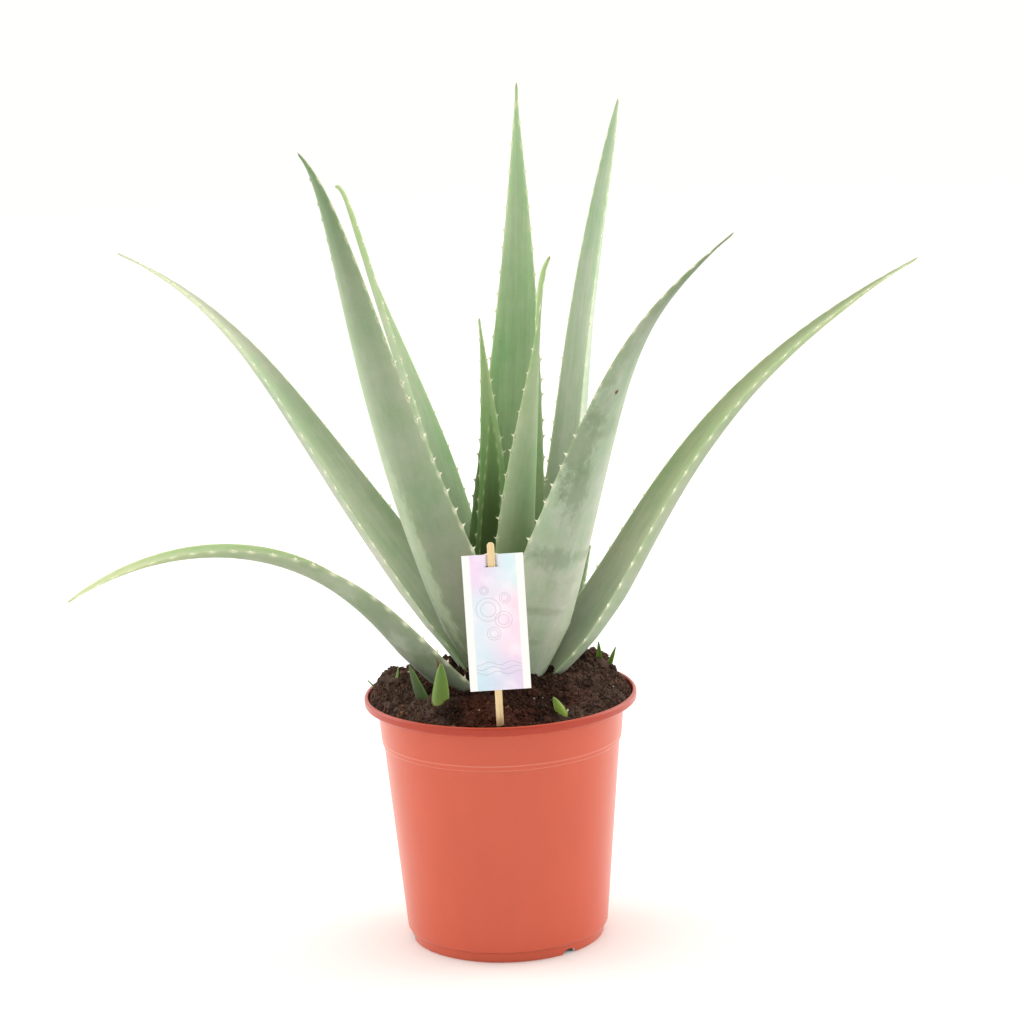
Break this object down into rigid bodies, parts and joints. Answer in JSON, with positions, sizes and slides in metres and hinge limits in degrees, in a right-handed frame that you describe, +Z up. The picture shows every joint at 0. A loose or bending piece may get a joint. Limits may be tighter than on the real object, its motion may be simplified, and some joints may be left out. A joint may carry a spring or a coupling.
{
  "type": "potted aloe plant",
  "caption": "Rosette of thick, tapering leaves with toothed margins in mounded soil, with offset shoots and a label card on a stick, in a tapered terracotta-coloured nursery pot.",
  "frame": {"origin": "on the pot's axis, in the plane its foot ring stands on", "axes": "+Z up, +X to the right and -Y towards the viewer of the picture, so +Y points away behind the plant"},
  "size_m": [0.53, 0.2, 0.528],
  "materials": {
    "pot_plastic": "thin moulded plastic, soft satin sheen",
    "soil": "moist, dark, fibrous peat with a few pale grains",
    "leaf_flesh": "grey-green skin with a waxy bloom and pale margin teeth",
    "shoot_flesh": "fresh green, smooth",
    "stem_flesh": "hidden in the soil, matt",
    "dry_leaf": "withered, matt brown",
    "stick_wood": "bare pale wood",
    "label_card": "printed card in pastel colours with a white border"
  },
  "bodies": {
    "root": {"nursery_pot": "pot_plastic", "stem": "stem_flesh", "leaf_heart": "leaf_flesh", "leaf_inner_front": "leaf_flesh", "leaf_inner_back": "leaf_flesh", "leaf_back": "leaf_flesh", "leaf_back_right": "leaf_flesh", "leaf_back_left": "leaf_flesh", "leaf_front_left": "leaf_flesh", "leaf_front_right": "leaf_flesh", "leaf_left": "leaf_flesh", "leaf_right": "leaf_flesh", "leaf_small_back": "leaf_flesh", "leaf_left_low": "leaf_flesh", "shoot_front_left": "shoot_flesh", "shoot_left": "shoot_flesh", "shoot_left_back": "shoot_flesh", "shoot_rim_left": "shoot_flesh", "shoot_front_right": "shoot_flesh", "shoot_back_right": "shoot_flesh", "shoot_right": "shoot_flesh", "withered_leaf": "dry_leaf", "label_stick": "stick_wood", "label_card": "label_card", "soil": "soil"}
  },
  "joints": []
}
